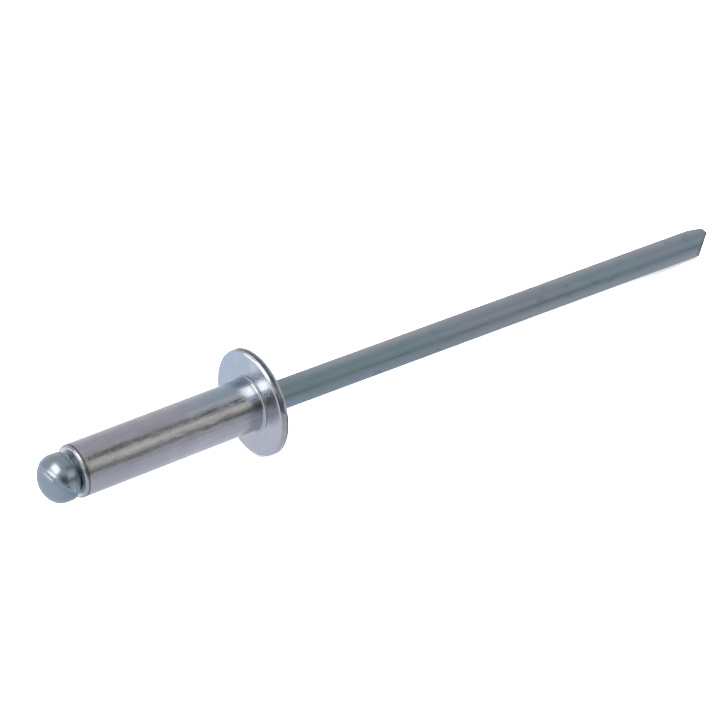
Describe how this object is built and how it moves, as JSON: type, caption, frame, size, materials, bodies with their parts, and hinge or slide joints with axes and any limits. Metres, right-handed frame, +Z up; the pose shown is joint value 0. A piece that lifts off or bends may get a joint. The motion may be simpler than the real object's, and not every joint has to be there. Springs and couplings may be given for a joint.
{
  "type": "pop rivet",
  "caption": "Unset open-end blind rivet: aluminium tube with a domed flange on a steel pull mandrel with a ball head and a slanted tip.",
  "frame": {"origin": "on the rivet's axis, in the plane of the flange's bearing face", "axes": "the rivet lies at rest on its rim and the tip of its stem: +X runs along it from the blind end to the tip, +Z is up, and the tube's own axis dips 2.4 degrees below +X"},
  "size_m": [0.0504, 0.0066, 0.0066],
  "materials": {
    "body_aluminium": "bright satin, drawn tube with fine lengthwise marks",
    "mandrel_steel": "zinc plated, satin blue-grey"
  },
  "bodies": {
    "root": {"rivet_body": "body_aluminium", "mandrel": "mandrel_steel"}
  },
  "joints": []
}
